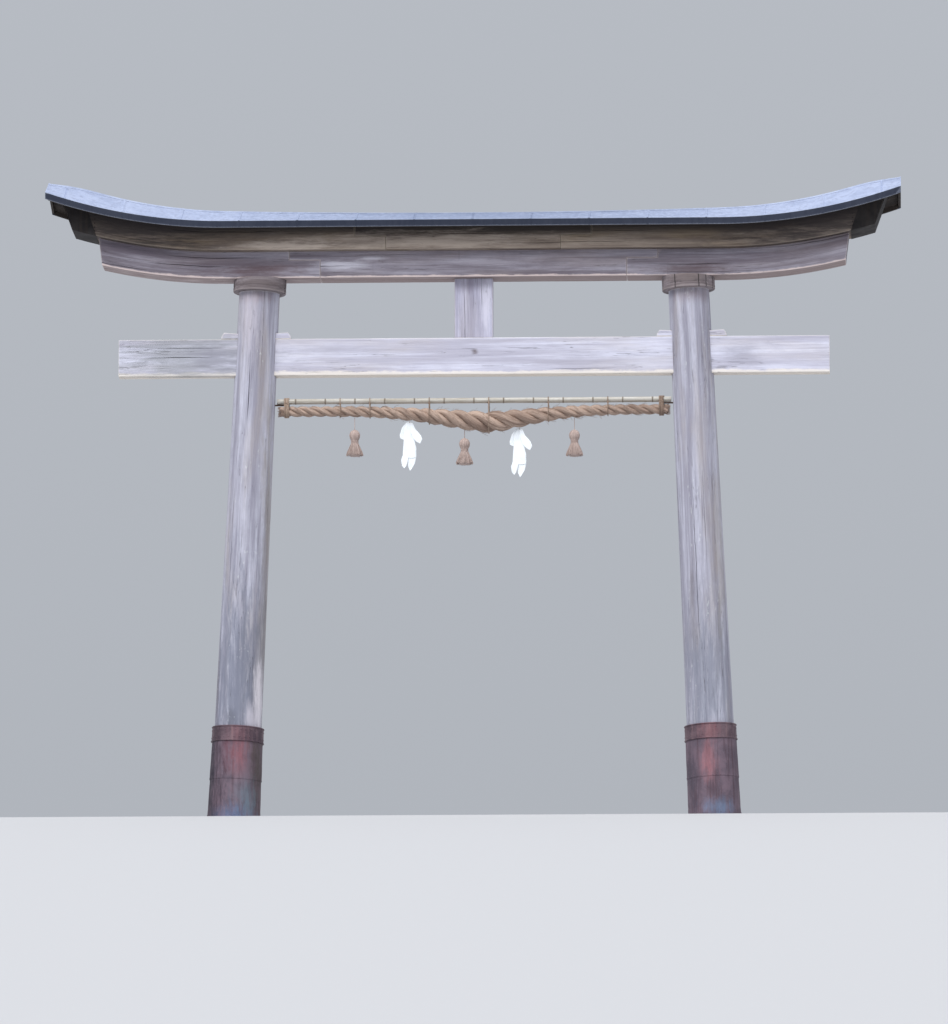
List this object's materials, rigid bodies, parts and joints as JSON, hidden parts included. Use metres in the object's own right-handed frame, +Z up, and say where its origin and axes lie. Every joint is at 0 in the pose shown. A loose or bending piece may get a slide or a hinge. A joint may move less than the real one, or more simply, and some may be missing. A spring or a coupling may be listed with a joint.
{
  "type": "torii gate",
  "caption": "Weathered timber torii gate with leaning columns, wedged tie beam, upswept double lintel under a low metal roof, and a straw rope hung below the beam.",
  "frame": {"origin": "middle of the left column's foot, on the face that stands on the ground", "axes": "+Z up, +X along the beams towards the right column, the front faces -Y"},
  "size_m": [8.8, 0.88, 6.653],
  "materials": {
    "column_timber": "silver-grey weathered cypress with long checks",
    "foot_wrap_metal": "dark brown copper sheet with blue-green patina at the foot",
    "wrap_band_metal": "dark brown copper band",
    "ring_timber": "grey-brown weathered timber",
    "tie_beam_timber": "pale silver-grey weathered timber",
    "wedge_timber": "pale silver-grey weathered timber",
    "strut_timber": "pale silver-grey weathered timber",
    "lower_lintel_timber": "purplish grey weathered timber with water stains",
    "upper_lintel_timber": "warm brown-grey weathered timber",
    "end_cap_metal": "near-black aged copper sheet",
    "deck_timber": "dark weathered boards",
    "edge_board_timber": "dark weathered boards",
    "roof_metal": "dark blue-grey aged copper sheet with a soft sky sheen",
    "ridge_metal": "dark blue-grey aged copper sheet",
    "nail_iron": "forged iron, rusted dark",
    "bamboo": "bleached grey bamboo",
    "lashing_straw": "twisted rice straw",
    "rope_straw": "thick twisted rice straw, beige-brown",
    "tassel_straw": "bound rice straw",
    "streamer_paper": "bright white folded paper"
  },
  "bodies": {
    "root": {"left_column": "column_timber", "right_column": "column_timber", "left_foot_wrap": "foot_wrap_metal", "right_foot_wrap": "foot_wrap_metal", "left_wrap_band": "wrap_band_metal", "right_wrap_band": "wrap_band_metal", "left_cap_ring": "ring_timber", "right_cap_ring": "ring_timber", "tie_beam": "tie_beam_timber", "left_outer_wedge": "wedge_timber", "left_inner_wedge": "wedge_timber", "right_inner_wedge": "wedge_timber", "right_outer_wedge": "wedge_timber", "centre_strut": "strut_timber", "lower_lintel_left": "lower_lintel_timber", "lower_lintel_middle": "lower_lintel_timber", "lower_lintel_right": "lower_lintel_timber", "upper_lintel_left": "upper_lintel_timber", "upper_lintel_middle": "upper_lintel_timber", "upper_lintel_right": "upper_lintel_timber", "left_end_cap": "end_cap_metal", "right_end_cap": "end_cap_metal", "front_roof_deck": "deck_timber", "back_roof_deck": "deck_timber", "front_fascia": "edge_board_timber", "back_fascia": "edge_board_timber", "left_barge_board": "edge_board_timber", "right_barge_board": "edge_board_timber", "front_roof_sheet": "roof_metal", "back_roof_sheet": "roof_metal", "ridge_cap": "ridge_metal", "left_pole_nail": "nail_iron", "right_pole_nail": "nail_iron", "bamboo_pole": "bamboo", "left_pole_lashing": "lashing_straw", "right_pole_lashing": "lashing_straw", "straw_rope": "rope_straw", "rope_ties": "lashing_straw", "left_tassel": "tassel_straw", "middle_tassel": "tassel_straw", "right_tassel": "tassel_straw", "left_streamer": "streamer_paper", "right_streamer": "streamer_paper"}
  },
  "joints": []
}
